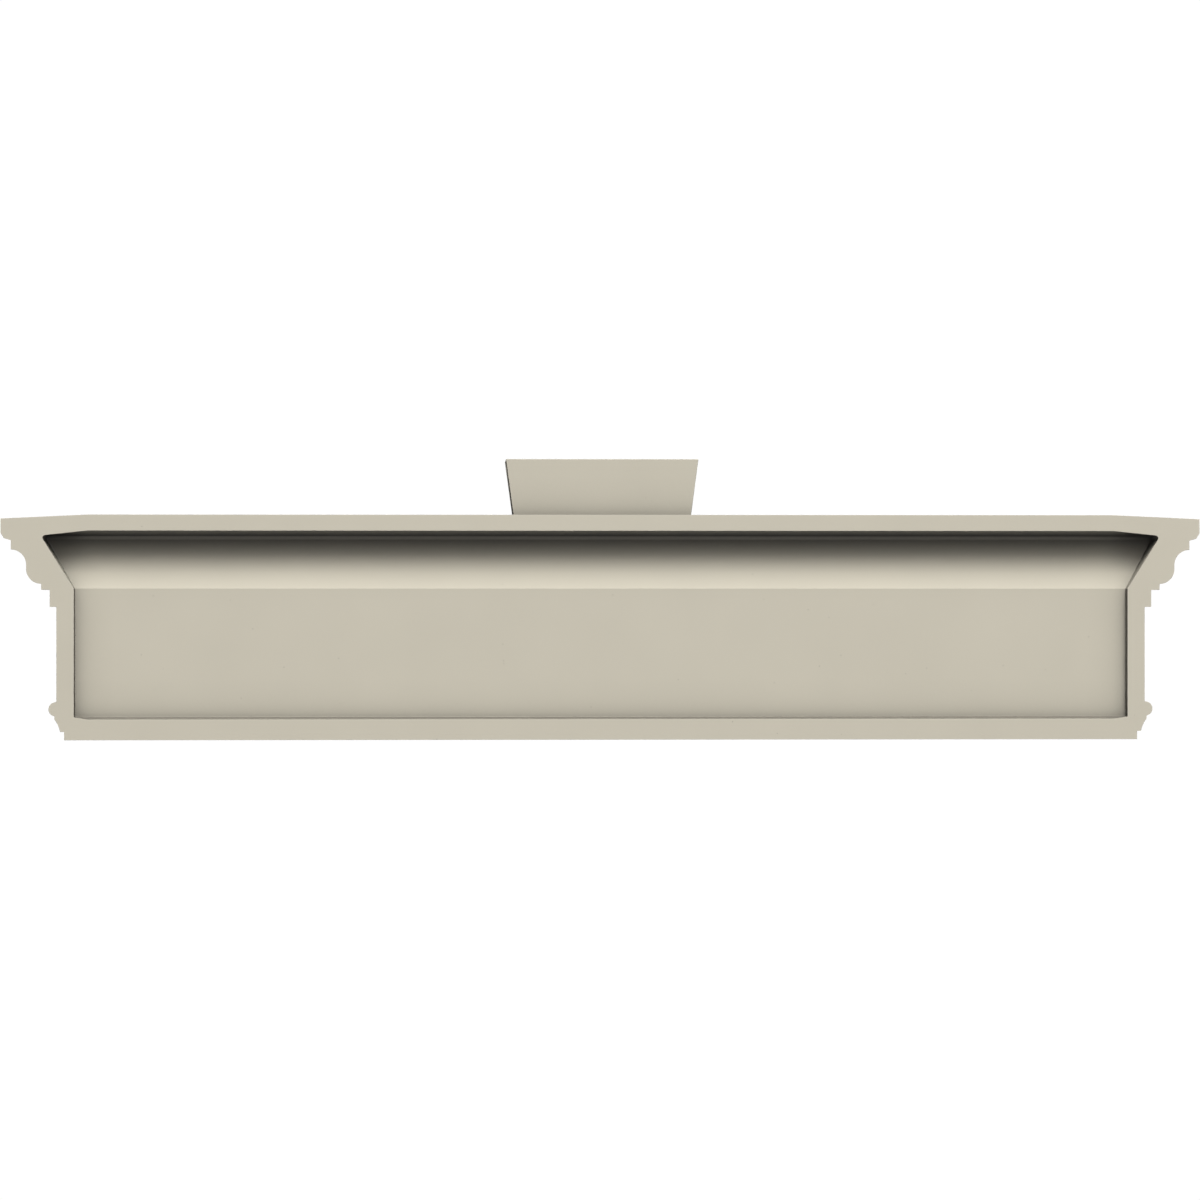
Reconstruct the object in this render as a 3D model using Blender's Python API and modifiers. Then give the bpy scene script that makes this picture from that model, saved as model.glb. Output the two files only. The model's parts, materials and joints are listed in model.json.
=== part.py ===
"""Window crosshead with a keystone, in metres with +Z up.

The body is one hollow moulding: a base, a bead, a plain frieze, a flat band and a crown, mitred at both
ends and returned to the wall. The keystone is a tapered block coped over the face of the body.
The wall is the plane Y = 0, the front looks towards -Y, and the origin is the middle of the lower
rail's back face, where the crosshead is fixed.
"""

import math

import bmesh
import bpy
from mathutils import Vector

# Overall sizes
BODY_HEIGHT = 0.2286
BASE_WIDTH = 1.0912
FRIEZE_REACH = 0.0318

# Base, from the underside up
PLINTH_HEIGHT = 0.0084
PLINTH_SET_BACK = 0.0078
CAVETTO_HEIGHT = 0.0127
CAVETTO_STEP = 0.0040
CAVETTO_HOLLOW = 0.0008
BASE_FILLET_HEIGHT = 0.0031
BASE_FILLET_PROUD = 0.0020
BEAD_RADIUS = 0.00725
BEAD_CENTRE_PROUD = 0.0007

# Crown, from the band up to the top
BAND_HEIGHT = 0.01735
BAND_PROUD = 0.0067
LOWER_FILLET_HEIGHT = 0.00605
LOWER_FILLET_STEP = 0.0086
OVOLO_RADIUS = 0.0152
NECK_HEIGHT = 0.00415
COVE_RADIUS = 0.0154
UPPER_FILLET_HEIGHT = 0.0094
SOFFIT_WIDTH = 0.0070
SOFFIT_RISE = 0.0020
CHAMFER_WIDTH = 0.0033
CHAMFER_HEIGHT = 0.00536
FASCIA_HEIGHT = 0.0147
WASH_FALL = 0.00404

# Hollow behind the frieze and the crown
FRIEZE_WALL = 0.0176
CROWN_WALL = 0.0402
TOP_RAIL = 0.01625
BOTTOM_RAIL = 0.02095
CEILING_FALL = 0.0050
FLOOR_RISE = 0.0022
CREASE_ABOVE_BAND = 0.0014
HOLLOW_CORNER_RADIUS = 0.0030

# Keystone
KEY_RISE = 0.05715
KEY_TOP_WIDTH = 0.1965
KEY_FOOT_WIDTH = 0.1205
KEY_BACK_SET = 0.0156
KEY_TOP_PROUD = 0.0295
KEY_FOOT_PROUD = 0.0221
KEY_CHAMFER = 0.0030

# Fit between the two pieces, and how finely round stretches are cut into facets
COPING_GAP = 0.0003
FACET_TURN = math.radians(6)
FEWEST_FACETS = 3
WELD = 1e-6

# Finish
PRIMER_COLOUR = (0.57, 0.53, 0.44, 1)
PRIMER_ROUGHNESS = 0.62


def arc(centre, radius, start, end):
    """Points (reach, height) on a circle, from the start angle to the end angle in radians."""
    count = max(FEWEST_FACETS, math.ceil(abs(end - start) / FACET_TURN))
    turns = [start + (end - start) * step / count for step in range(count + 1)]
    return [centre + radius * Vector((math.cos(turn), math.sin(turn))) for turn in turns]


def angle_of(direction):
    return math.atan2(direction.y, direction.x)


def sunk_arc(low, high, sink):
    """A shallow arc from low to high whose middle is sunk towards the wall by sink."""
    chord = high - low
    radius = (chord.length_squared / 4 + sink * sink) / (2 * sink)
    to_wall = Vector((-chord.y, chord.x)).normalized()
    centre = (low + high) / 2 - to_wall * (radius - sink)
    half = math.asin(chord.length / 2 / radius)
    return arc(centre, radius, angle_of(to_wall) + half, angle_of(to_wall) - half)


def rounded_corner(before, corner, after, radius):
    """An arc that touches both sides of a corner, from the side before it to the side after it."""
    first = (before - corner).normalized()
    second = (after - corner).normalized()
    middle = (first + second).normalized()
    half = first.angle(second) / 2
    centre = corner + middle * radius / math.sin(half)
    turn = math.copysign(math.pi / 2 - half, first.x * second.y - first.y * second.x)
    facing = angle_of(-middle)
    return arc(centre, radius, facing + turn, facing - turn)


def base_outline():
    """The base and the bead from the underside up, as points (reach from the wall, height)."""
    plinth = FRIEZE_REACH - PLINTH_SET_BACK
    fillet = FRIEZE_REACH + BASE_FILLET_PROUD
    cavetto_top = PLINTH_HEIGHT + CAVETTO_HEIGHT
    bead = FRIEZE_REACH + BEAD_CENTRE_PROUD
    below = math.acos((fillet - bead) / BEAD_RADIUS)
    above = math.acos((FRIEZE_REACH - bead) / BEAD_RADIUS)
    bead_height = cavetto_top + BASE_FILLET_HEIGHT + BEAD_RADIUS * math.sin(below)
    outline = [Vector((plinth, 0)), Vector((plinth, PLINTH_HEIGHT))]
    outline += sunk_arc(
        Vector((plinth + CAVETTO_STEP, PLINTH_HEIGHT)), Vector((fillet, cavetto_top)), CAVETTO_HOLLOW
    )
    outline += arc(Vector((bead, bead_height)), BEAD_RADIUS, -below, above)
    return outline


def crown_outline():
    """The band and the crown from the top of the frieze to the top edge at the wall."""
    fascia_top = BODY_HEIGHT - WASH_FALL
    fascia_foot = fascia_top - FASCIA_HEIGHT
    soffit_front = fascia_foot - CHAMFER_HEIGHT
    soffit_back = soffit_front - SOFFIT_RISE
    neck_top = soffit_back - UPPER_FILLET_HEIGHT - COVE_RADIUS
    neck_foot = neck_top - NECK_HEIGHT
    lower_fillet_foot = neck_foot - OVOLO_RADIUS - LOWER_FILLET_HEIGHT
    band_foot = lower_fillet_foot - BAND_HEIGHT
    band = FRIEZE_REACH + BAND_PROUD
    lower_fillet = band + LOWER_FILLET_STEP
    upper_fillet = lower_fillet + OVOLO_RADIUS + COVE_RADIUS
    soffit = upper_fillet + SOFFIT_WIDTH
    fascia = soffit + CHAMFER_WIDTH
    outline = [Vector((FRIEZE_REACH, band_foot)), Vector((band, band_foot))]
    outline += [Vector((band, lower_fillet_foot)), Vector((lower_fillet, lower_fillet_foot))]
    outline += arc(Vector((lower_fillet, neck_foot)), OVOLO_RADIUS, -math.pi / 2, 0)
    outline += arc(Vector((upper_fillet, neck_top)), COVE_RADIUS, math.pi, math.pi / 2)
    outline += [Vector((upper_fillet, soffit_back)), Vector((soffit, soffit_front))]
    outline += [Vector((fascia, fascia_foot)), Vector((fascia, fascia_top))]
    outline += [Vector((0, BODY_HEIGHT))]
    return outline


def hollow_outline():
    """The hollow, from the top rail's back edge, round behind the crown and frieze, to its floor."""
    crown = crown_outline()
    band_top = crown[2].y
    fascia = max(point.x for point in crown)
    behind_frieze = FRIEZE_REACH - FRIEZE_WALL
    rail_edge = Vector((0, BODY_HEIGHT - TOP_RAIL))
    corner = Vector((fascia - CROWN_WALL, BODY_HEIGHT - TOP_RAIL - CEILING_FALL))
    crease = Vector((behind_frieze, band_top + CREASE_ABOVE_BAND))
    outline = [rail_edge]
    outline += rounded_corner(rail_edge, corner, crease, HOLLOW_CORNER_RADIUS)
    outline += [crease, Vector((behind_frieze, BOTTOM_RAIL + FLOOR_RISE)), Vector((0, BOTTOM_RAIL))]
    return outline


def stood_off(outline, gap):
    """The outline moved out from the moulding's face by gap, with its corners kept sharp."""
    moved = []
    for place, point in enumerate(outline):
        before = outline[max(place - 1, 0)]
        after = outline[min(place + 1, len(outline) - 1)]
        sides = [side for side in (point - before, after - point) if side.length > 0]
        out = [Vector((side.y, -side.x)).normalized() for side in sides]
        moved.append(point + gap * (out[0] + out[-1]) / (1 + out[0].dot(out[-1])))
    return moved


def keystone_outline():
    """The keystone's side: coped to the body's face, upright behind and leaning out towards the top."""
    face = base_outline() + crown_outline()
    coping = stood_off(face, COPING_GAP)
    fascia, wall = coping[-2], coping[-1]
    on_wash = fascia.lerp(wall, (fascia.x - KEY_BACK_SET) / (fascia.x - wall.x))
    top = BODY_HEIGHT + KEY_RISE
    top_reach = max(point.x for point in face) + KEY_TOP_PROUD
    foot_reach = max(point.x for point in base_outline()) + KEY_FOOT_PROUD
    front = [Vector((top_reach, top)), Vector((foot_reach, 0))]
    return coping[:-1] + [on_wash, Vector((KEY_BACK_SET, top))] + front


def side_face(mesh, outline):
    """A face in the plane X = 0 with the outline's reach along -Y and its height along Z."""
    return mesh.faces.new([mesh.verts.new((0, -point.x, point.y)) for point in outline])


def pushed_out(mesh, face, placed):
    """The face extruded and left open behind, with its far side's points moved to where placed puts them."""
    grown = bmesh.ops.extrude_face_region(mesh, geom=[face])["geom"]
    bmesh.ops.delete(mesh, geom=[face], context="FACES_ONLY")
    for corner in [item for item in grown if isinstance(item, bmesh.types.BMVert)]:
        corner.co = placed(corner.co)
    return next(item for item in grown if isinstance(item, bmesh.types.BMFace))


def mirrored_object(name, mesh, material, collection, parent):
    """A half mesh that is open on its centre plane, mirrored across it, as a named object."""
    bmesh.ops.remove_doubles(mesh, verts=mesh.verts, dist=WELD)
    bmesh.ops.recalc_face_normals(mesh, faces=mesh.faces)
    data = bpy.data.meshes.new(name)
    mesh.to_mesh(data)
    mesh.free()
    data.materials.append(material)
    made = bpy.data.objects.new(name, data)
    made.location.z = -BOTTOM_RAIL / 2
    made.parent = parent
    collection.objects.link(made)
    mirror = made.modifiers.new("both ends alike", "MIRROR")
    mirror.use_axis = (True, False, False)
    mirror.merge_threshold = WELD
    return made


def moulded_body(material, collection, parent):
    """The section pushed out along the front to the mitre, then turned back along the end to the wall."""
    face_points = base_outline() + crown_outline()
    wall_end = BASE_WIDTH / 2 - face_points[0].x
    mesh = bmesh.new()
    face = side_face(mesh, face_points + hollow_outline() + [Vector((0, 0))])
    mitre = pushed_out(mesh, face, lambda place: Vector((wall_end - place.y, place.y, place.z)))
    pushed_out(mesh, mitre, lambda place: Vector((place.x, 0, place.z)))
    return mirrored_object("crosshead", mesh, material, collection, parent)


def keystone_block(material, collection, parent):
    """The keystone's side pushed out to its tapered flank, with the arrises of the front chamfered."""
    total = BODY_HEIGHT + KEY_RISE
    outline = keystone_outline()
    front_top, front_foot = outline[-2], outline[-1]

    def on_flank(place):
        width = KEY_FOOT_WIDTH + (KEY_TOP_WIDTH - KEY_FOOT_WIDTH) * place.z / total
        return Vector((width / 2, place.y, place.z))

    def in_front(corner):
        lean = front_foot.lerp(front_top, corner.co.z / total)
        return abs(-corner.co.y - lean.x) < WELD

    mesh = bmesh.new()
    pushed_out(mesh, side_face(mesh, outline), on_flank)
    edges = [edge for edge in mesh.edges if all(in_front(corner) for corner in edge.verts)]
    arrises = [edge for edge in edges if any(corner.co.x > WELD for corner in edge.verts)]
    bmesh.ops.bevel(mesh, geom=arrises, offset=KEY_CHAMFER, segments=1, profile=0.5, affect="EDGES")
    return mirrored_object("keystone", mesh, material, collection, parent)


def primer(name):
    material = bpy.data.materials.new(name)
    material.use_nodes = True
    shader = material.node_tree.nodes["Principled BSDF"]
    shader.inputs["Base Color"].default_value = PRIMER_COLOUR
    shader.inputs["Roughness"].default_value = PRIMER_ROUGHNESS
    shader.inputs["Metallic"].default_value = 0
    return material


for left_over in list(bpy.data.objects):
    bpy.data.objects.remove(left_over)

parts = bpy.data.collections.new("window crosshead")
bpy.context.scene.collection.children.link(parts)
wall_fixing = bpy.data.objects.new("wall_fixing", None)
parts.objects.link(wall_fixing)
moulded_body(primer("body primer"), parts, wall_fixing)
keystone_block(primer("keystone primer"), parts, wall_fixing)
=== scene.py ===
# %% [markdown]
# # A primed window crosshead, seen from behind
#
# A crosshead is the moulded head that sits on the wall over a window, like a small cornice. This one is
# cast in rigid foam and sprayed with a beige-grey primer. It has two pieces: the moulding, which turns
# back to the wall at both ends and is hollow behind, and a keystone, a tapered block that is cut to the
# moulding's face and stands in the middle. The camera looks at the side that goes against the wall.
#
# The frame is the finished construction, and it never moves. Everything below is built around it, in
# metres, with +Z up. The wall is the plane Y = 0, the moulded face looks along -Y and the back along +Y.

import json
import math

import bmesh
import bpy
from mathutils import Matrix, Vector

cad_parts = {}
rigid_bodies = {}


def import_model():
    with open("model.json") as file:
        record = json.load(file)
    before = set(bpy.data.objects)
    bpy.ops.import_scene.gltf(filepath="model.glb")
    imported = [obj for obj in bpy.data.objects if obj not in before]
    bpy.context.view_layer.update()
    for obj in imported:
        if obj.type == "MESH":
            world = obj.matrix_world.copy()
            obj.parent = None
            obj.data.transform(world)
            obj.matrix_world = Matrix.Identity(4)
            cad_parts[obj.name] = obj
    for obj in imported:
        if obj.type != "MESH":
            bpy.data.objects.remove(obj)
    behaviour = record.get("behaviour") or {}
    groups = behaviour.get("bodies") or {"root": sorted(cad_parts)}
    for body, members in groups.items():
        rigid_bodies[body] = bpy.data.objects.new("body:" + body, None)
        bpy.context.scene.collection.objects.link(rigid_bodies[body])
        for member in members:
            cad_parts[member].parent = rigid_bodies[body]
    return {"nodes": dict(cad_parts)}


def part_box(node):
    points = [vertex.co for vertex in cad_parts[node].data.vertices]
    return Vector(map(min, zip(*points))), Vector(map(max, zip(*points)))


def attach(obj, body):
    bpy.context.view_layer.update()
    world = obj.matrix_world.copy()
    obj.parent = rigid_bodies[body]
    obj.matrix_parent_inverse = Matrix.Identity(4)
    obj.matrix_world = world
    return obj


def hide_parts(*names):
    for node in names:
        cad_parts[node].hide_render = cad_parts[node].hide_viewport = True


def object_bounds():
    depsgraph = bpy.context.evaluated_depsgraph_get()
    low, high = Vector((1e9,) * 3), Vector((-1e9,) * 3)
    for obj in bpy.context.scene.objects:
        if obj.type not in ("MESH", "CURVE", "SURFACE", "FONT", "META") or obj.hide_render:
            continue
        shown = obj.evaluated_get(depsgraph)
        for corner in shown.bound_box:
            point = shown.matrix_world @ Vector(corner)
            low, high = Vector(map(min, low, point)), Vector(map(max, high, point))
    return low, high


for left_over in list(bpy.data.objects):
    bpy.data.objects.remove(left_over)

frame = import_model()
cad_low, cad_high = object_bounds()
body_low, body_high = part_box("crosshead")
print("nodes:", sorted(frame["nodes"]))
print("whole object in mm:", [round(size * 1000, 1) for size in cad_high - cad_low])

# %% [markdown]
# ## The moulding's section
#
# A moulding is one section carried along a line, so the section is worth most of the care. It is written
# as points of reach, the distance out from the wall, and height above the underside. From the bottom up
# it has a plinth, a cavetto, a fillet and a bead, then a plain frieze, a flat band, an ovolo, a cove and
# the fascia at the top. The overall size comes from the frame, and each member keeps its own named size,
# so that one of them can be changed without disturbing the rest.

# %% Overall height and the frieze
BODY_HEIGHT = body_high.z - body_low.z
UNDERSIDE = body_low.z
FRIEZE_REACH = 0.0318

print("body height in mm:", round(BODY_HEIGHT * 1000, 2))

# %% [markdown]
# ## Arcs
#
# The round members are arcs of circles. An arc is cut into short straight facets, and the angle that one
# facet turns decides how smooth it looks. Four degrees is fine enough for a close view, and the shading
# is smoothed on top of it.

# %% Helpers that make round stretches
FACET_TURN = math.radians(4)
FEWEST_FACETS = 4


def arc(centre, radius, start, end):
    """Points on a circle, from the start angle to the end angle in radians."""
    count = max(FEWEST_FACETS, math.ceil(abs(end - start) / FACET_TURN))
    turns = [start + (end - start) * step / count for step in range(count + 1)]
    return [centre + radius * Vector((math.cos(turn), math.sin(turn))) for turn in turns]


def angle_of(direction):
    return math.atan2(direction.y, direction.x)


def sunk_arc(low, high, sink):
    """A shallow arc from low to high whose middle is sunk towards the wall by sink."""
    chord = high - low
    radius = (chord.length_squared / 4 + sink * sink) / (2 * sink)
    to_wall = Vector((-chord.y, chord.x)).normalized()
    centre = (low + high) / 2 - to_wall * (radius - sink)
    half = math.asin(chord.length / 2 / radius)
    return arc(centre, radius, angle_of(to_wall) + half, angle_of(to_wall) - half)


def rounded_corner(before, corner, after, radius):
    """An arc that touches both sides of a corner, from the side before it to the side after it."""
    first = (before - corner).normalized()
    second = (after - corner).normalized()
    middle = (first + second).normalized()
    half = first.angle(second) / 2
    centre = corner + middle * radius / math.sin(half)
    turn = math.copysign(math.pi / 2 - half, first.x * second.y - first.y * second.x)
    facing = angle_of(-middle)
    return arc(centre, radius, facing + turn, facing - turn)


print("degrees that one facet turns:", round(math.degrees(FACET_TURN), 1))

# %% [markdown]
# ## The base
#
# The outline could be drawn by hand as one long list of points. It is built from three functions
# instead, one for each stretch, because each reads like the member it makes and takes its place from the
# member before it. The base comes first, from the underside up to where the bead meets the frieze.

# %% The base's members
PLINTH_HEIGHT = 0.0084
PLINTH_SET_BACK = 0.0078
CAVETTO_HEIGHT = 0.0127
CAVETTO_STEP = 0.0040
CAVETTO_HOLLOW = 0.0008
BASE_FILLET_HEIGHT = 0.0031
BASE_FILLET_PROUD = 0.0020
BEAD_RADIUS = 0.00725
BEAD_CENTRE_PROUD = 0.0007


def base_outline():
    """Plinth, cavetto, fillet and bead, from the underside up."""
    plinth = FRIEZE_REACH - PLINTH_SET_BACK
    fillet = FRIEZE_REACH + BASE_FILLET_PROUD
    cavetto_top = PLINTH_HEIGHT + CAVETTO_HEIGHT
    bead = FRIEZE_REACH + BEAD_CENTRE_PROUD
    below = math.acos((fillet - bead) / BEAD_RADIUS)
    above = math.acos((FRIEZE_REACH - bead) / BEAD_RADIUS)
    bead_height = cavetto_top + BASE_FILLET_HEIGHT + BEAD_RADIUS * math.sin(below)
    outline = [Vector((plinth, 0)), Vector((plinth, PLINTH_HEIGHT))]
    outline += sunk_arc(
        Vector((plinth + CAVETTO_STEP, PLINTH_HEIGHT)), Vector((fillet, cavetto_top)), CAVETTO_HOLLOW
    )
    outline += arc(Vector((bead, bead_height)), BEAD_RADIUS, -below, above)
    return outline


print("points in the base:", len(base_outline()))

# %% [markdown]
# ## The crown
#
# The crown steps out from the frieze to the fascia. Its sizes are stacked down from the top edge,
# because the top is what the frame fixes. The top itself falls a little towards the front, to shed
# water, and is called the wash.

# %% The crown's members
BAND_HEIGHT = 0.01735
BAND_PROUD = 0.0067
LOWER_FILLET_HEIGHT = 0.00605
LOWER_FILLET_STEP = 0.0086
OVOLO_RADIUS = 0.0152
NECK_HEIGHT = 0.00415
COVE_RADIUS = 0.0154
UPPER_FILLET_HEIGHT = 0.0094
SOFFIT_WIDTH = 0.0070
SOFFIT_RISE = 0.0020
CHAMFER_WIDTH = 0.0033
CHAMFER_HEIGHT = 0.00536
FASCIA_HEIGHT = 0.0147
WASH_FALL = 0.00404

FASCIA_TOP = BODY_HEIGHT - WASH_FALL
FASCIA_FOOT = FASCIA_TOP - FASCIA_HEIGHT
SOFFIT_FRONT = FASCIA_FOOT - CHAMFER_HEIGHT
SOFFIT_BACK = SOFFIT_FRONT - SOFFIT_RISE
NECK_TOP = SOFFIT_BACK - UPPER_FILLET_HEIGHT - COVE_RADIUS
NECK_FOOT = NECK_TOP - NECK_HEIGHT
BAND_TOP = NECK_FOOT - OVOLO_RADIUS - LOWER_FILLET_HEIGHT
BAND_FOOT = BAND_TOP - BAND_HEIGHT

BAND_REACH = FRIEZE_REACH + BAND_PROUD
LOWER_FILLET_REACH = BAND_REACH + LOWER_FILLET_STEP
UPPER_FILLET_REACH = LOWER_FILLET_REACH + OVOLO_RADIUS + COVE_RADIUS
SOFFIT_REACH = UPPER_FILLET_REACH + SOFFIT_WIDTH
FASCIA_REACH = SOFFIT_REACH + CHAMFER_WIDTH


def crown_outline():
    """Band, ovolo, cove, soffit and fascia, from the top of the frieze to the top edge at the wall."""
    outline = [Vector((FRIEZE_REACH, BAND_FOOT)), Vector((BAND_REACH, BAND_FOOT))]
    outline += [Vector((BAND_REACH, BAND_TOP)), Vector((LOWER_FILLET_REACH, BAND_TOP))]
    outline += arc(Vector((LOWER_FILLET_REACH, NECK_FOOT)), OVOLO_RADIUS, -math.pi / 2, 0)
    outline += arc(Vector((UPPER_FILLET_REACH, NECK_TOP)), COVE_RADIUS, math.pi, math.pi / 2)
    outline += [Vector((UPPER_FILLET_REACH, SOFFIT_BACK)), Vector((SOFFIT_REACH, SOFFIT_FRONT))]
    outline += [Vector((FASCIA_REACH, FASCIA_FOOT)), Vector((FASCIA_REACH, FASCIA_TOP))]
    outline += [Vector((0, BODY_HEIGHT))]
    return outline


face_points = base_outline() + crown_outline()
WALL_END = body_high.x - FASCIA_REACH
print("points round the moulded face:", len(face_points))
print("the returns start at X =", round(WALL_END, 4))

# %% [markdown]
# ## The hollow behind
#
# The casting is hollow to save weight and to leave room for cleats. Its back has a rail along the top
# and one along the bottom. Between them the inside follows the face roughly: a ceiling, a long slope
# behind the crown, a crease, and a flat stretch behind the frieze. The ceiling meets the slope in a
# round corner.

# %% The hollow's members
FRIEZE_WALL = 0.0176
CROWN_WALL = 0.0402
TOP_RAIL = 0.01625
BOTTOM_RAIL = 0.02095
CEILING_FALL = 0.0050
FLOOR_RISE = 0.0022
CREASE_ABOVE_BAND = 0.0014
HOLLOW_CORNER_RADIUS = 0.0030


def hollow_outline():
    """The hollow behind, from the top rail's back edge down to the bottom rail's."""
    behind_frieze = FRIEZE_REACH - FRIEZE_WALL
    rail_edge = Vector((0, BODY_HEIGHT - TOP_RAIL))
    corner = Vector((FASCIA_REACH - CROWN_WALL, BODY_HEIGHT - TOP_RAIL - CEILING_FALL))
    crease = Vector((behind_frieze, BAND_TOP + CREASE_ABOVE_BAND))
    outline = [rail_edge]
    outline += rounded_corner(rail_edge, corner, crease, HOLLOW_CORNER_RADIUS)
    outline += [crease, Vector((behind_frieze, BOTTOM_RAIL + FLOOR_RISE)), Vector((0, BOTTOM_RAIL))]
    return outline


print("points round the hollow:", len(hollow_outline()))

# %% [markdown]
# ## Softened arrises
#
# Nothing that comes out of a mould and under a spray gun has a truly sharp edge. A Bevel modifier could
# round the arrises, but it would also cut into the crisp mitres, and the fine facets would hold its
# width back. Here each sharp corner of the section is rounded while it is still a flat outline. Every
# corner asks for the same small radius and takes less where its neighbours are close.

# %% Round the sharp corners of an outline
ARRIS_RADIUS = 0.00045
SHARP_TURN = math.radians(25)
SHARE_OF_SIDE = 0.45
AT_THE_WALL = 1e-6


def softened(outline, radius):
    """The outline with an arc in place of each sharp corner that isn't at the wall."""
    soft = [outline[0]]
    for before, corner, after in zip(outline, outline[1:], outline[2:]):
        first = before - corner
        second = after - corner
        turn = math.pi - first.angle(second)
        if turn < SHARP_TURN or corner.x < AT_THE_WALL:
            soft.append(corner)
            continue
        room = SHARE_OF_SIDE * min(first.length, second.length)
        soft += rounded_corner(before, corner, after, min(radius, room / math.tan(turn / 2)))
    return soft + [outline[-1]]


section = softened(face_points + hollow_outline(), ARRIS_RADIUS) + [Vector((0, 0))]
print("points in the whole section:", len(section))

# %% [markdown]
# ## From an outline to a mesh
#
# A joiner would run a length of moulding, cut 45 degree mitres and glue the returns on. The mesh follows
# the same route: the section stands at the middle of the head, is pushed out to the mitre, where each
# point moves as far sideways as it reaches out, and is then turned back to the wall. These three helpers
# do the standing, the pushing and the cleaning up.

# %% Helpers that grow a mesh from an outline
WELD = 1e-6


def side_face(mesh, outline):
    """A face in the plane X = 0, with the outline's reach along -Y and its height along Z."""
    return mesh.faces.new([mesh.verts.new((0, -point.x, point.y + UNDERSIDE)) for point in outline])


def pushed_out(mesh, face, placed):
    """The face extruded and left open behind. The function placed gives each new point's place."""
    grown = bmesh.ops.extrude_face_region(mesh, geom=[face])["geom"]
    bmesh.ops.delete(mesh, geom=[face], context="FACES_ONLY")
    for corner in [item for item in grown if isinstance(item, bmesh.types.BMVert)]:
        corner.co = placed(corner.co)
    return next(item for item in grown if isinstance(item, bmesh.types.BMFace))


def tidied(mesh):
    """Welds points that fall together, and points the faces outwards."""
    bmesh.ops.remove_doubles(mesh, verts=mesh.verts, dist=WELD)
    bmesh.ops.recalc_face_normals(mesh, faces=mesh.faces)


# %% [markdown]
# ## The flat back and its edge
#
# The back of the rails and of both returns lies in one plane, which is what goes against the wall. Round
# that plane the casting has a very small arris too. It can't be drawn in the section, because it runs
# round the ends, so it is found in the mesh: each edge with one face in the wall's plane and one out of
# it is bevelled.

# %% Soften the edge of the flat back
BACK_ARRIS = 0.00025
BACK_ARRIS_STEPS = 2
FLAT = 1e-4
QUARTER_ROUND = 0.5


def in_the_wall(face):
    return all(abs(corner.co.y) < WELD for corner in face.verts) and abs(face.normal.y) > 1 - FLAT


def bevelled(mesh, edges, width, steps):
    """Bevels the edges. A profile of one half makes the bevel a quarter of a circle."""
    bmesh.ops.bevel(
        mesh, geom=edges, offset=width, segments=steps, profile=QUARTER_ROUND, affect="EDGES"
    )


def soften_back(mesh):
    """Bevels the border of the flat back, and returns how many edges it found."""
    border = [
        edge
        for edge in mesh.edges
        if len(edge.link_faces) == 2 and sum(in_the_wall(face) for face in edge.link_faces) == 1
    ]
    bevelled(mesh, border, BACK_ARRIS, BACK_ARRIS_STEPS)
    return len(border)


# %% [markdown]
# ## Both ends alike, smooth and flat together
#
# Only one half is made, and a Mirror modifier gives the other, so that both ends are alike. Smooth
# shading alone would bend the light on the flat faces next to a tiny rounded arris. A Weighted Normal
# modifier lets the large faces decide the shading, so flats stay flat and only the arris turns.

# %% Make the named object from a half mesh
SMOOTH_UP_TO = math.radians(32)


def finished_piece(name, mesh):
    """A half mesh that is open on its middle plane, as a mirrored and smoothly shaded object."""
    tidied(mesh)
    data = bpy.data.meshes.new(name)
    mesh.to_mesh(data)
    mesh.free()
    data.shade_smooth()
    data.set_sharp_from_angle(angle=SMOOTH_UP_TO)
    piece = bpy.data.objects.new(name, data)
    bpy.context.scene.collection.objects.link(piece)
    mirror = piece.modifiers.new("both ends alike", "MIRROR")
    mirror.use_axis = (True, False, False)
    mirror.merge_threshold = WELD
    weights = piece.modifiers.new("flats stay flat", "WEIGHTED_NORMAL")
    weights.mode = "FACE_AREA"
    weights.keep_sharp = True
    return piece


# %% [markdown]
# ## The moulded body
#
# The section is pushed out twice, first to the mitre and then back to the wall. A point that reaches out
# from the wall by some distance also goes past the start of the return by the same distance, and that
# makes the mitre 45 degrees at every member.

# %% The body
def moulded_body():
    """The crosshead's moulding."""
    mesh = bmesh.new()
    face = side_face(mesh, section)
    mitre = pushed_out(mesh, face, lambda place: Vector((WALL_END - place.y, place.y, place.z)))
    pushed_out(mesh, mitre, lambda place: Vector((place.x, 0, place.z)))
    tidied(mesh)
    print("edges round the flat back:", soften_back(mesh))
    return finished_piece("moulded_body", mesh)


body = moulded_body()
print("faces in one half of the body:", len(body.data.polygons))

# %% [markdown]
# ## The keystone
#
# The keystone is a tapered block that leans out towards its top. Its height, its width at the top and
# the plane of its back come from the frame. Its front is set by how far it stands proud of the fascia at
# the top and of the bead at the foot.

# %% Sizes of the keystone
KEY_PROUD_OF_FASCIA = 0.0295
KEY_PROUD_OF_BEAD = 0.0221
KEY_FOOT_WIDTH = 0.1205
KEY_CHAMFER = 0.0030
KEY_CHAMFER_STEPS = 1

key_low, key_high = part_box("keystone")
KEY_TOP = key_high.z - UNDERSIDE
KEY_TOP_WIDTH = key_high.x - key_low.x
KEY_BACK_SET = -key_high.y
KEY_TOP_REACH = FASCIA_REACH + KEY_PROUD_OF_FASCIA
KEY_FOOT_REACH = max(point.x for point in base_outline()) + KEY_PROUD_OF_BEAD

print("keystone's top width and height in mm:", round(KEY_TOP_WIDTH * 1000, 1), round(KEY_TOP * 1000, 1))

# %% [markdown]
# ## The keystone's side
#
# The back of the block is coped, which means cut to the moulding's own profile, so that it sits over the
# face without a gap. A Boolean could cut it, but the moulding's outline is already at hand, so the same
# points are moved out by the thickness of a glue line and become the back of the block.

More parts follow.
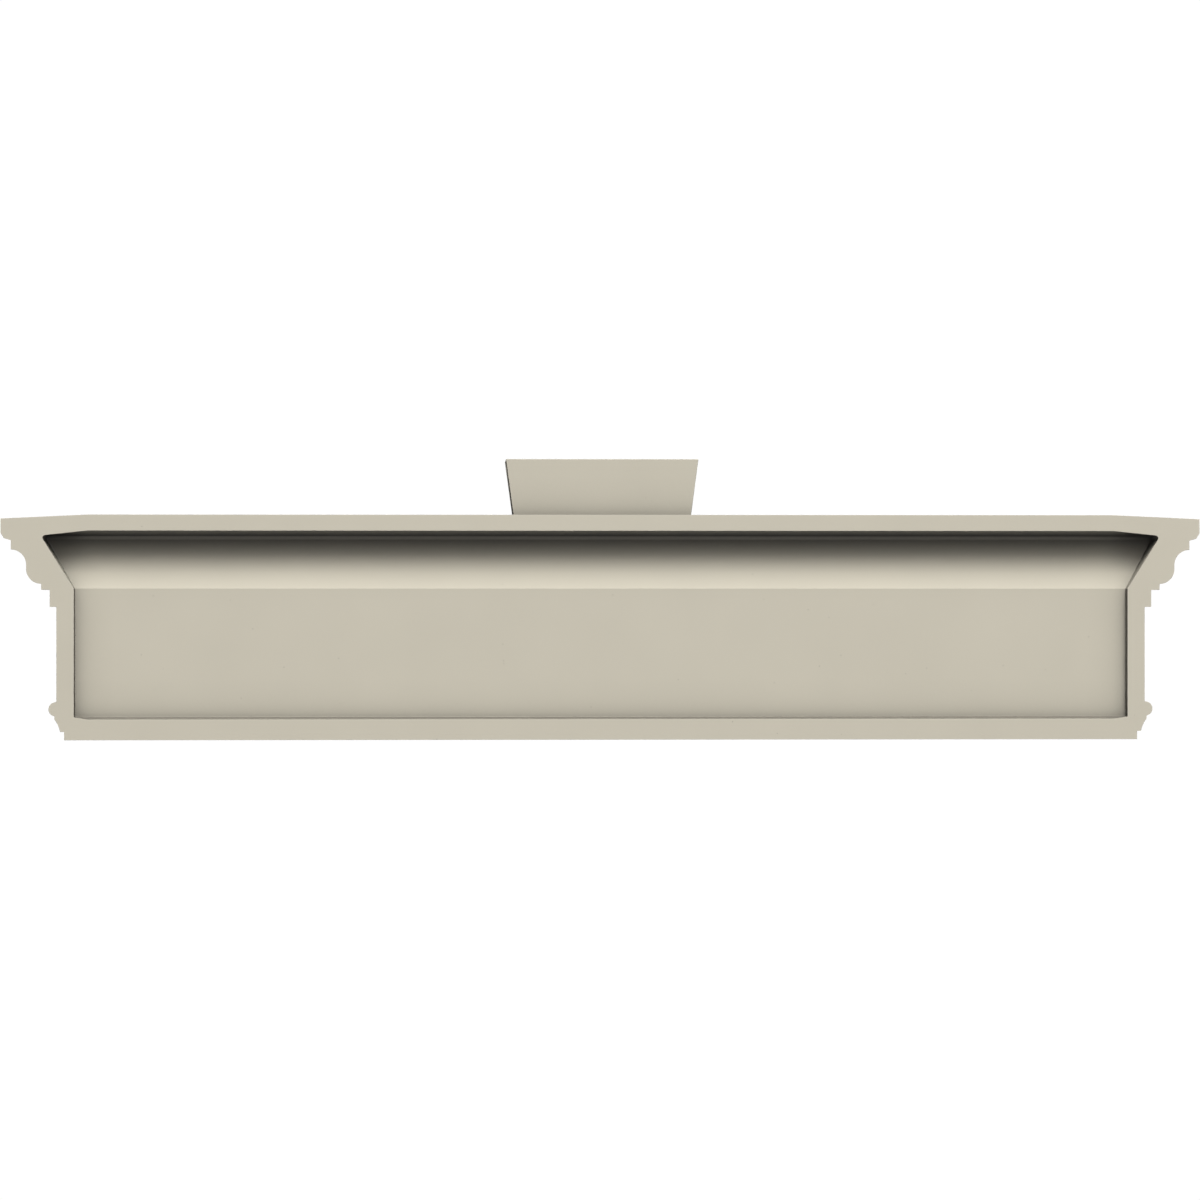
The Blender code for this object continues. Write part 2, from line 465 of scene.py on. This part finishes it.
# %% The side, from the cope round to the front
GLUE_LINE = 0.0003
COPE_ARRIS = 0.0002


def stood_off(outline, gap):
    """The outline moved out from the moulding's face by gap, with its corners kept sharp."""
    moved = []
    for place, point in enumerate(outline):
        before = outline[max(place - 1, 0)]
        after = outline[min(place + 1, len(outline) - 1)]
        sides = [side for side in (point - before, after - point) if side.length > 0]
        out = [Vector((side.y, -side.x)).normalized() for side in sides]
        moved.append(point + gap * (out[0] + out[-1]) / (1 + out[0].dot(out[-1])))
    return moved


def keystone_side():
    """The cope, the upright back above the moulding, the top and the leaning front."""
    coping = stood_off(face_points, GLUE_LINE)
    fascia, wall = coping[-2:]
    on_wash = fascia.lerp(wall, (fascia.x - KEY_BACK_SET) / (fascia.x - wall.x))
    coping = softened(coping[:-1] + [on_wash], COPE_ARRIS)
    front = [Vector((KEY_TOP_REACH, KEY_TOP)), Vector((KEY_FOOT_REACH, 0))]
    return coping + [Vector((KEY_BACK_SET, KEY_TOP))] + front


side_points = keystone_side()
print("points round the keystone's side:", len(side_points))

# %% [markdown]
# ## Finding the keystone's edges
#
# The block's edges get two treatments: a chamfer round the front, and a small softening on the rest of
# its own outside, but not on the fine facets of the cope. Picking edges by number would break when a
# size changes, so these small functions say where a point lies.

# %% Where a point lies on the block
def share_of_height(place):
    return (place.z - UNDERSIDE) / KEY_TOP


def on_flank(place):
    """The point moved sideways to the keystone's flank at its height."""
    width = KEY_FOOT_WIDTH + (KEY_TOP_WIDTH - KEY_FOOT_WIDTH) * share_of_height(place)
    return Vector((width / 2, place.y, place.z))


def front_reach(place):
    return KEY_FOOT_REACH + (KEY_TOP_REACH - KEY_FOOT_REACH) * share_of_height(place)


def on_front(place):
    return abs(-place.y - front_reach(place)) < WELD


def near_front(place):
    """True on the front and on the chamfer behind it."""
    past_cope = -place.y > KEY_FOOT_REACH - KEY_CHAMFER - WELD
    return past_cope and -place.y > front_reach(place) - 2 * KEY_CHAMFER


def on_block(place):
    """True on the block's own outside: its front and chamfer, its top and its upright back."""
    on_top = abs(place.z - key_high.z) < WELD
    on_upright_back = abs(-place.y - KEY_BACK_SET) < WELD
    return near_front(place) or on_top or on_upright_back


print("reach of the front at the foot in mm:", round(front_reach(Vector((0, 0, UNDERSIDE))) * 1000, 1))

# %% [markdown]
# ## The block
#
# The side is pushed out to the flank, which widens steadily from the foot to the top. The chamfer is cut
# first, as a flat bevel of one step, and then every sharp edge that is left on the outside is rounded.

# %% The keystone
KEY_ARRIS = 0.0005
KEY_ARRIS_STEPS = 3


def keystone_block():
    """The keystone, pushed out from its side to its flank."""
    mesh = bmesh.new()
    pushed_out(mesh, side_face(mesh, side_points), on_flank)
    front = [edge for edge in mesh.edges if all(on_front(corner.co) for corner in edge.verts)]
    arrises = [edge for edge in front if any(corner.co.x > WELD for corner in edge.verts)]
    bevelled(mesh, arrises, KEY_CHAMFER, KEY_CHAMFER_STEPS)
    tidied(mesh)
    seams = [
        edge
        for edge in mesh.edges
        if len(edge.link_faces) == 2
        and edge.calc_face_angle() > SHARP_TURN
        and all(on_block(corner.co) for corner in edge.verts)
    ]
    bevelled(mesh, seams, KEY_ARRIS, KEY_ARRIS_STEPS)
    print("softened edges on the keystone:", len(seams))
    return finished_piece("keystone_block", mesh)


keystone = keystone_block()
print("faces in one half of the keystone:", len(keystone.data.polygons))

# %% [markdown]
# ## What the primer looks like
#
# The finish is a matt beige-grey primer, sprayed over the foam's dense skin. Close up it has three
# things
# that one flat colour lacks: soft clouds where the coat is thicker or thinner, the fine pebbled surface
# of dried spray, and slightly paler arrises, where handling has rubbed them. Two more effects are
# painted
# shade: a darker colour in inner corners, and a darker one still on ledges that look up, deep in those
# corners. Each effect is a node group, so that both pieces share it and each sets its own strength. A
# picture could hold all this, but a procedure keeps its real size on any piece and needs no unwrapping.
#
# The helpers below add nodes and link them. A Mix node has one set of sockets for each type of data, all
# with the same names, so they are reached by number.

# %% Helpers for nodes and node groups
MIX_FACTOR = 0
MIX_NUMBERS = (2, 3)
MIX_COLOURS = (6, 7)
MIXED_NUMBER = 0
MIXED_COLOUR = 2


def new_group(name, inputs, outputs):
    """An empty shader node group with number sockets, and the sockets of its two end nodes."""
    group = bpy.data.node_groups.new(name, "ShaderNodeTree")
    number = "NodeSocketFloat"
    for socket_name, value in inputs.items():
        socket = group.interface.new_socket(name=socket_name, in_out="INPUT", socket_type=number)
        socket.default_value = value
    for socket_name in outputs:
        group.interface.new_socket(name=socket_name, in_out="OUTPUT", socket_type=number)
    entry = group.nodes.new("NodeGroupInput")
    leave = group.nodes.new("NodeGroupOutput")
    return group, entry.outputs, leave.inputs


def add(tree, kind, settings=None, inputs=None):
    """A new node with its settings, and with each input set to a value or linked from a socket."""
    node = tree.nodes.new(kind)
    for key, value in (settings or {}).items():
        setattr(node, key, value)
    for key, value in (inputs or {}).items():
        if isinstance(value, bpy.types.NodeSocket):
            tree.links.new(value, node.inputs[key])
        else:
            node.inputs[key].default_value = value
    return node


def math_node(tree, operation, first, second, clamp=False):
    settings = {"operation": operation, "use_clamp": clamp}
    return add(tree, "ShaderNodeMath", settings, {0: first, 1: second}).outputs[0]


def smooth_step(tree, value, low, high, at_low=0.0, at_high=1.0):
    """A soft switch from at_low to at_high, as the value goes from low to high."""
    settings = {"interpolation_type": "SMOOTHSTEP"}
    inputs = {"Value": value, "From Min": low, "From Max": high, "To Min": at_low, "To Max": at_high}
    return add(tree, "ShaderNodeMapRange", settings, inputs).outputs["Result"]


def mixed_number(tree, share, low, high):
    inputs = {MIX_FACTOR: share, MIX_NUMBERS[0]: low, MIX_NUMBERS[1]: high}
    return add(tree, "ShaderNodeMix", {"data_type": "FLOAT"}, inputs).outputs[MIXED_NUMBER]


def mixed_colour(tree, share, low, high, blend="MIX"):
    settings = {"data_type": "RGBA", "blend_type": blend}
    inputs = {MIX_FACTOR: share, MIX_COLOURS[0]: low, MIX_COLOURS[1]: high}
    return add(tree, "ShaderNodeMix", settings, inputs).outputs[MIXED_COLOUR]


# %% [markdown]
# ### Clouds
#
# The coat's thickness drifts over a hand's width, so the noise is large and soft. It is read from the
# object's own coordinates, in metres, which keeps the clouds in place when the piece is moved. The noise
# swings round its middle value, and the group turns that into a shade that swings round one.

# %% Group: clouds in the coat
CLOUDS_PER_METRE = 14.0
CLOUD_DEPTH = 0.06
CLOUD_DETAIL = 2.0
CLOUD_ROUGHNESS = 0.45
NOISE_MIDDLE = 0.5


def clouds_group():
    inputs = {"Clouds per metre": CLOUDS_PER_METRE, "Depth": CLOUD_DEPTH, "Offset": 0.0}
    group, given, out = new_group("clouds in the coat", inputs, ["Shade"])
    place = add(group, "ShaderNodeTexCoord").outputs["Object"]
    moved = add(group, "ShaderNodeVectorMath", {"operation": "ADD"}, {0: place, 1: given["Offset"]})
    noise_inputs = {
        "Vector": moved.outputs[0],
        "Scale": given["Clouds per metre"],
        "Detail": CLOUD_DETAIL,
        "Roughness": CLOUD_ROUGHNESS,
    }
    noise = add(group, "ShaderNodeTexNoise", {"noise_dimensions": "3D"}, noise_inputs)
    swing = math_node(group, "SUBTRACT", noise.outputs["Fac"], NOISE_MIDDLE)
    depth = math_node(group, "MULTIPLY", swing, given["Depth"])
    group.links.new(math_node(group, "ADD", depth, 1.0), out["Shade"])
    return group


CLOUDS = clouds_group()
print("made the group:", CLOUDS.name)

# %% [markdown]
# ### Pebbled spray
#
# Dried spray is a skin of low round pebbles about a millimetre across, with a finer grain on top. Both
# are far too small to model, so they are a height for a Bump node. A few pinholes from the foam show
# through. They come from a Voronoi texture: each cell has a hole at its middle, and a random colour that
# decides whether the hole is there. Most cells stay blank.

# %% Group: pebbled spray
PEBBLES_PER_METRE = 800.0
PEBBLE_DETAIL = 1.0
GRAIN_FINENESS = 4.0
GRAIN_DETAIL = 2.0
GRAIN_SHARE = 0.35
PINHOLES_PER_METRE = 90.0
PINHOLE_SHARE = 0.2
PINHOLE_FLOOR = 0.03
PINHOLE_RIM = 0.07


def noise_height(group, place, scale, detail):
    inputs = {"Vector": place, "Scale": scale, "Detail": detail}
    return add(group, "ShaderNodeTexNoise", {}, inputs).outputs["Fac"]


def spray_group():
    inputs = {
        "Pebbles per metre": PEBBLES_PER_METRE,
        "Grain share": GRAIN_SHARE,
        "Pinholes per metre": PINHOLES_PER_METRE,
        "Pinhole share": PINHOLE_SHARE,
    }
    group, given, out = new_group("pebbled spray", inputs, ["Height", "Pinholes"])
    place = add(group, "ShaderNodeTexCoord").outputs["Object"]
    pebbles = noise_height(group, place, given["Pebbles per metre"], PEBBLE_DETAIL)
    finer = math_node(group, "MULTIPLY", given["Pebbles per metre"], GRAIN_FINENESS)
    grain = noise_height(group, place, finer, GRAIN_DETAIL)
    surface = mixed_number(group, given["Grain share"], pebbles, grain)
    cell_inputs = {"Vector": place, "Scale": given["Pinholes per metre"]}
    cells = add(group, "ShaderNodeTexVoronoi", {"feature": "F1"}, cell_inputs)
    near = smooth_step(group, cells.outputs["Distance"], PINHOLE_FLOOR, PINHOLE_RIM, 1.0, 0.0)
    draw = add(group, "ShaderNodeSeparateColor", {}, {"Color": cells.outputs["Color"]}).outputs[0]
    chosen = math_node(group, "LESS_THAN", draw, given["Pinhole share"])
    holes = math_node(group, "MULTIPLY", near, chosen)
    group.links.new(math_node(group, "SUBTRACT", surface, holes), out["Height"])
    group.links.new(holes, out["Pinholes"])
    return group


SPRAY = spray_group()
print("made the group:", SPRAY.name)

# %% [markdown]
# ### Inner corners and rubbed arrises
#
# Both masks come from the Ambient Occlusion node, which asks how much of the space round a point is
# closed in. Looking outwards it finds inner corners. Looking into the solid it finds arrises, because
# only there is the far side close. Neither depends on where the camera stands. A deep corner never
# closes the whole view, so the share that counts as full is a value of its own.

# %% Groups: inner corners and rubbed arrises
OCCLUSION_SAMPLES = 8
CORNER_SETTINGS = {"Reach": 0.04, "Full": 0.7, "Falloff": 1.3}
ARRIS_SETTINGS = {"Reach": 0.002, "Full": 0.6, "Falloff": 1.0}


def closeness_group(name, inside, inputs, socket_name):
    """A mask from 0 to 1 that rises where the piece is close to itself, outside or inside."""
    group, given, out = new_group(name, inputs, [socket_name])
    settings = {"inside": inside, "samples": OCCLUSION_SAMPLES}
    open_share = add(group, "ShaderNodeAmbientOcclusion", settings, {"Distance": given["Reach"]})
    closed = math_node(group, "SUBTRACT", 1.0, open_share.outputs["AO"])
    share = math_node(group, "DIVIDE", closed, given["Full"], clamp=True)
    group.links.new(math_node(group, "POWER", share, given["Falloff"]), out[socket_name])
    return group


# The inner-corners mask paints shade into the coat, in the corners and on the ledges in them.
CORNERS = closeness_group("inner corners", False, CORNER_SETTINGS, "Corners")
ARRISES = closeness_group("rubbed arrises", True, ARRIS_SETTINGS, "Arrises")
print("made the groups:", CORNERS.name, "and", ARRISES.name)

# %% [markdown]
# ### Painted shade on ledges
#
# Faces that look up and lie deep in an inner corner are painted darker still, as shade. The
# mask multiplies the two: how far the face looks up, from its normal, and how deep in a corner it is.

# %% Group: painted shade on ledges
LEVEL_FROM = 0.7
LEVEL_TO = 0.95


def painted_ledge_shade_group():
    inputs = {"Corners": 0.0, "Corner from": 0.05, "Corner to": 0.3}
    group, given, out = new_group("painted shade on ledges", inputs, ["Dust"])
    normal = add(group, "ShaderNodeTexCoord").outputs["Normal"]
    upward = add(group, "ShaderNodeSeparateXYZ", {}, {0: normal}).outputs["Z"]
    level = smooth_step(group, upward, LEVEL_FROM, LEVEL_TO)
    deep = smooth_step(group, given["Corners"], given["Corner from"], given["Corner to"])
    group.links.new(math_node(group, "MULTIPLY", level, deep), out["Dust"])
    return group


PAINTED_LEDGE_SHADE = painted_ledge_shade_group()
print("made the group:", PAINTED_LEDGE_SHADE.name)

# %% [markdown]
# ## The primer itself
#
# The material keeps the Principled shader and mixes the groups around it. The keystone is a casting of
# its own, so its clouds start elsewhere, and its arrises are a little more rubbed because it stands out
# furthest. Its coat is a little darker, as painted shade against the extra light it gets by standing
# free.

# %% Build a primer material from the groups
# Painted shade for inner corners.
CORNER_SHADE_COLOUR = (0.205, 0.19, 0.158, 1)
# Painted shade for ledges that look up, deep in inner corners.
LEDGE_SHADE_COLOUR = (0.19, 0.175, 0.145, 1)
RUBBED_COLOUR = (0.66, 0.625, 0.54, 1)
PINHOLE_COLOUR = (0.40, 0.37, 0.30, 1)
LEDGE_SHADE_SHARE = 0.85
BUMP_STRENGTH = 0.25
PEBBLE_HEIGHT = 0.0002
GLOSS = 0.3


def place_group(tree, group, values=None):
    return add(tree, "ShaderNodeGroup", {"node_tree": group}, values).outputs


def primer(name, colour, offset, corner_shade_share, rub_share, roughness):
    """A sprayed primer, with the share of each effect set for one piece."""
    material = bpy.data.materials.new(name)
    material.use_nodes = True
    tree = material.node_tree
    shader = tree.nodes["Principled BSDF"]
    clouds = place_group(tree, CLOUDS, {"Offset": offset})
    spray = place_group(tree, SPRAY)
    corners = place_group(tree, CORNERS)
    ledges = place_group(tree, PAINTED_LEDGE_SHADE, {"Corners": corners["Corners"]})
    arrises = place_group(tree, ARRISES)
    coat = mixed_colour(tree, 1.0, colour, clouds["Shade"], "MULTIPLY")
    # Painted shade: inner corners are mixed towards a dark colour.
    shaded = math_node(tree, "MULTIPLY", corners["Corners"], corner_shade_share)
    coat = mixed_colour(tree, shaded, coat, CORNER_SHADE_COLOUR)
    # Painted shade: ledges that look up, deep in inner corners, are mixed towards a darker colour still.
    ledge_shaded = math_node(tree, "MULTIPLY", ledges["Dust"], LEDGE_SHADE_SHARE)
    coat = mixed_colour(tree, ledge_shaded, coat, LEDGE_SHADE_COLOUR)
    rubbed = math_node(tree, "MULTIPLY", arrises["Arrises"], rub_share)
    coat = mixed_colour(tree, rubbed, coat, RUBBED_COLOUR)
    coat = mixed_colour(tree, spray["Pinholes"], coat, PINHOLE_COLOUR)
    tree.links.new(coat, shader.inputs["Base Color"])
    dull = math_node(tree, "MULTIPLY", clouds["Shade"], roughness)
    tree.links.new(dull, shader.inputs["Roughness"])
    bump_inputs = {"Strength": BUMP_STRENGTH, "Distance": PEBBLE_HEIGHT, "Height": spray["Height"]}
    bump = add(tree, "ShaderNodeBump", {}, bump_inputs)
    tree.links.new(bump.outputs["Normal"], shader.inputs["Normal"])
    shader.inputs["Specular IOR Level"].default_value = GLOSS
    return material


body_primer = primer(
    "body primer",
    colour=(0.572, 0.531, 0.431, 1),
    offset=0.0,
    corner_shade_share=1.0,
    rub_share=0.20,
    roughness=0.66,
)
# The keystone's darker colour is painted shade against the extra light it gets by standing free.
keystone_shaded_primer = primer(
    "keystone primer",
    colour=(0.55, 0.511, 0.414, 1),
    offset=3.7,
    corner_shade_share=0.9,
    rub_share=0.25,
    roughness=0.64,
)
print("materials:", body_primer.name, "and", keystone_shaded_primer.name)

# %% [markdown]
# ## Put the pieces on the frame
#
# Each piece takes its material, rides on the frame's one body, and stands for the plain solid that it
# was built over.

# %% Materials, body and slots
body.data.materials.append(body_primer)
keystone.data.materials.append(keystone_shaded_primer)
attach(body, "root")
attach(keystone, "root")
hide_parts("crosshead")
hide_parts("keystone")
print("pieces on the frame:", body.name, "and", keystone.name)

# %% [markdown]
# ## Floor
#
# The object is photographed against pure white and hangs clear of everything. A white floor would throw
# light up under the rails, which the photograph doesn't show. So the floor is seen by the camera alone
# and neither lights nor shades the object. It lies well below the head, so that a camera can also look
# up at the underside.

# %% A floor that only the camera sees
FLOOR_BELOW = 6.0
FLOOR_SIZE = 60
PURE_WHITE = 1.02
WHITE = (1, 1, 1, 1)


def pale_floor():
    bpy.ops.mesh.primitive_plane_add(size=FLOOR_SIZE, location=(0, 0, cad_low.z - FLOOR_BELOW))
    floor = bpy.context.object
    floor.name = "pale_floor"
    floor.visible_diffuse = False
    floor.visible_glossy = False
    floor.visible_shadow = False
    material = bpy.data.materials.new("pale floor")
    material.use_nodes = True
    tree = material.node_tree
    tree.nodes.clear()
    white = add(tree, "ShaderNodeEmission", {}, {"Color": WHITE, "Strength": PURE_WHITE})
    output = add(tree, "ShaderNodeOutputMaterial")
    tree.links.new(white.outputs[0], output.inputs["Surface"])
    floor.data.materials.append(material)
    return floor


pale_floor()
print("floor at z =", round(cad_low.z - FLOOR_BELOW, 3))

# %% [markdown]
# ## Air
#
# The air is white to the camera too. A Light Path node tells a camera's ray from all others, so that one
# world can be both a backdrop and a light. To the object the air is only a faint fill, which comes
# mostly from below and is a little blue. Without it the ceiling of the hollow would be black.

# %% Air that is a faint fill to the object
FILL_ABOVE = (0.04, 0.04, 0.04, 1)
FILL_BELOW = (0.175, 0.18, 0.202, 1)
HORIZON_SOFTNESS = 0.02


def white_air():
    air = bpy.data.worlds.new("white air")
    air.use_nodes = True
    tree = air.node_tree
    tree.nodes.clear()
    direction = add(tree, "ShaderNodeTexCoord").outputs["Generated"]
    height = add(tree, "ShaderNodeSeparateXYZ", {}, {0: direction}).outputs["Z"]
    horizon = {"Value": height, "From Min": -HORIZON_SOFTNESS, "From Max": HORIZON_SOFTNESS}
    above = add(tree, "ShaderNodeMapRange", {}, horizon).outputs["Result"]
    fill = mixed_colour(tree, above, FILL_BELOW, FILL_ABOVE)
    lighting = add(tree, "ShaderNodeBackground", {}, {"Color": fill}).outputs[0]
    backdrop = add(tree, "ShaderNodeBackground", {}, {"Color": WHITE, "Strength": PURE_WHITE}).outputs[0]
    seen = add(tree, "ShaderNodeLightPath").outputs["Is Camera Ray"]
    blended = add(tree, "ShaderNodeMixShader", {}, {0: seen, 1: lighting, 2: backdrop})
    output = add(tree, "ShaderNodeOutputWorld")
    tree.links.new(blended.outputs[0], output.inputs["Surface"])
    return air


bpy.context.scene.world = white_air()
print("air:", bpy.context.scene.world.name)

# %% [markdown]
# ## Lights
#
# The back is lit from behind the camera by two softboxes, one above the other, that together make a tall
# narrow wall of light. Its height gives the long soft shadow under the top rail, because each step down
# the sloping inside of the crown sees a little more of it. It is narrow so that the faces that look
# sideways stay dark, as in the photograph. All lights stand far off, so that the top and the foot of the
# head get the same amount.
#
# The moulded face has lights of its own. They all stand in front of the wall, so they reach neither the
# faces that look straight back nor the hollow. The one in front stands well to one side, so that the
# members and the keystone cast shadows that tell their depth. Two low ones fill the end and the
# undersides. Some light from the one at the end also falls on the keystone's flank, on the thin strip
# that shows from behind. The photograph has no glow from one face onto the next, so light that has
# bounced once is left out.

# %% Softboxes
LIGHT_DISTANCE = 16.0
LIGHT_BOUNCES = 0


def softbox(name, azimuth, elevation, wide, tall, brightness):
    """An area light that faces the object. All angles are in degrees, and azimuth 0 is behind, on +Y."""
    across = math.radians(azimuth)
    up = math.radians(elevation)
    direction = Vector((math.sin(across) * math.cos(up), math.cos(across) * math.cos(up), math.sin(up)))
    data = bpy.data.lights.new(name, "AREA")
    data.shape = "RECTANGLE"
    data.size = 2 * LIGHT_DISTANCE * math.tan(math.radians(wide / 2))
    data.size_y = 2 * LIGHT_DISTANCE * math.tan(math.radians(tall / 2))
    data.energy = brightness * data.size * data.size_y
    light = bpy.data.objects.new(name, data)
    light.location = (cad_low + cad_high) / 2 + direction * LIGHT_DISTANCE
    light.rotation_euler = direction.to_track_quat("Z", "Y").to_euler()
    light.visible_camera = False
    bpy.context.scene.collection.objects.link(light)
    return light


softbox("low softbox behind", azimuth=-4, elevation=16, wide=16, tall=32, brightness=20.3)
softbox("high softbox behind", azimuth=-4, elevation=56, wide=16, tall=48, brightness=46.0)
softbox("softbox in front", azimuth=207, elevation=28, wide=40, tall=36, brightness=24.0)
softbox("low softbox at the end", azimuth=99, elevation=-20, wide=14, tall=20, brightness=34.0)
softbox("low softbox in front", azimuth=207, elevation=-36, wide=30, tall=24, brightness=6.0)
bpy.context.scene.cycles.diffuse_bounces = LIGHT_BOUNCES

# %% [markdown]
# ## Camera
#
# The photograph is level and square to the back. Its lines run to a point left of the middle and at the
# frame's middle height, so the camera stands there, and its distance follows from how little the far
# edges shrink. A shift could keep the camera square, but it would push the object out of every other
# view. Turning the camera by about two degrees keeps both ends in their place, and moves the middle by
# less than three pixels.

# %% Place and aim the camera
PHOTO_SIZE = 1200
METRES_PER_PIXEL = 0.00101717
MIDDLE_PIXEL = 599.83
UNDERSIDE_PIXEL = 739.62
FOOT_PIXEL_ACROSS = 450
FOOT_PIXEL_DOWN = 600
DISTANCE_IN_PIXELS = 4300
EDGE_SPARE_IN_PIXELS = 0.5
SENSOR = 36

camera_x = (MIDDLE_PIXEL - FOOT_PIXEL_ACROSS) * METRES_PER_PIXEL
camera_y = DISTANCE_IN_PIXELS * METRES_PER_PIXEL
camera_z = UNDERSIDE + (UNDERSIDE_PIXEL - FOOT_PIXEL_DOWN) * METRES_PER_PIXEL
left_turn = math.atan((cad_high.x - camera_x) / camera_y)
right_turn = math.atan((camera_x - cad_low.x) / camera_y)
half_view = (left_turn + right_turn) / 2
yaw = (right_turn - left_turn) / 2

camera_data = bpy.data.cameras.new("camera")
camera_data.sensor_width = SENSOR
share_filled = 1 - 2 * EDGE_SPARE_IN_PIXELS / PHOTO_SIZE
camera_data.lens = SENSOR / 2 * share_filled / math.tan(half_view)
camera = bpy.data.objects.new("camera", camera_data)
camera.location = (camera_x, camera_y, camera_z)
camera.rotation_euler = (math.pi / 2, 0, math.pi - yaw)
bpy.context.scene.collection.objects.link(camera)
bpy.context.scene.camera = camera
print("lens in mm:", round(camera_data.lens, 2), "and turn in degrees:", round(math.degrees(yaw), 2))

# %% [markdown]
# ## True whites
#
# Blender's usual view transform greys pure white and dulls pale colours, as film does. The photograph's
# background is pure white, so the colours are shown as they are, with the Standard transform.

# %% Show colours as they are
bpy.context.scene.view_settings.view_transform = "Standard"
print("view transform:", bpy.context.scene.view_settings.view_transform)
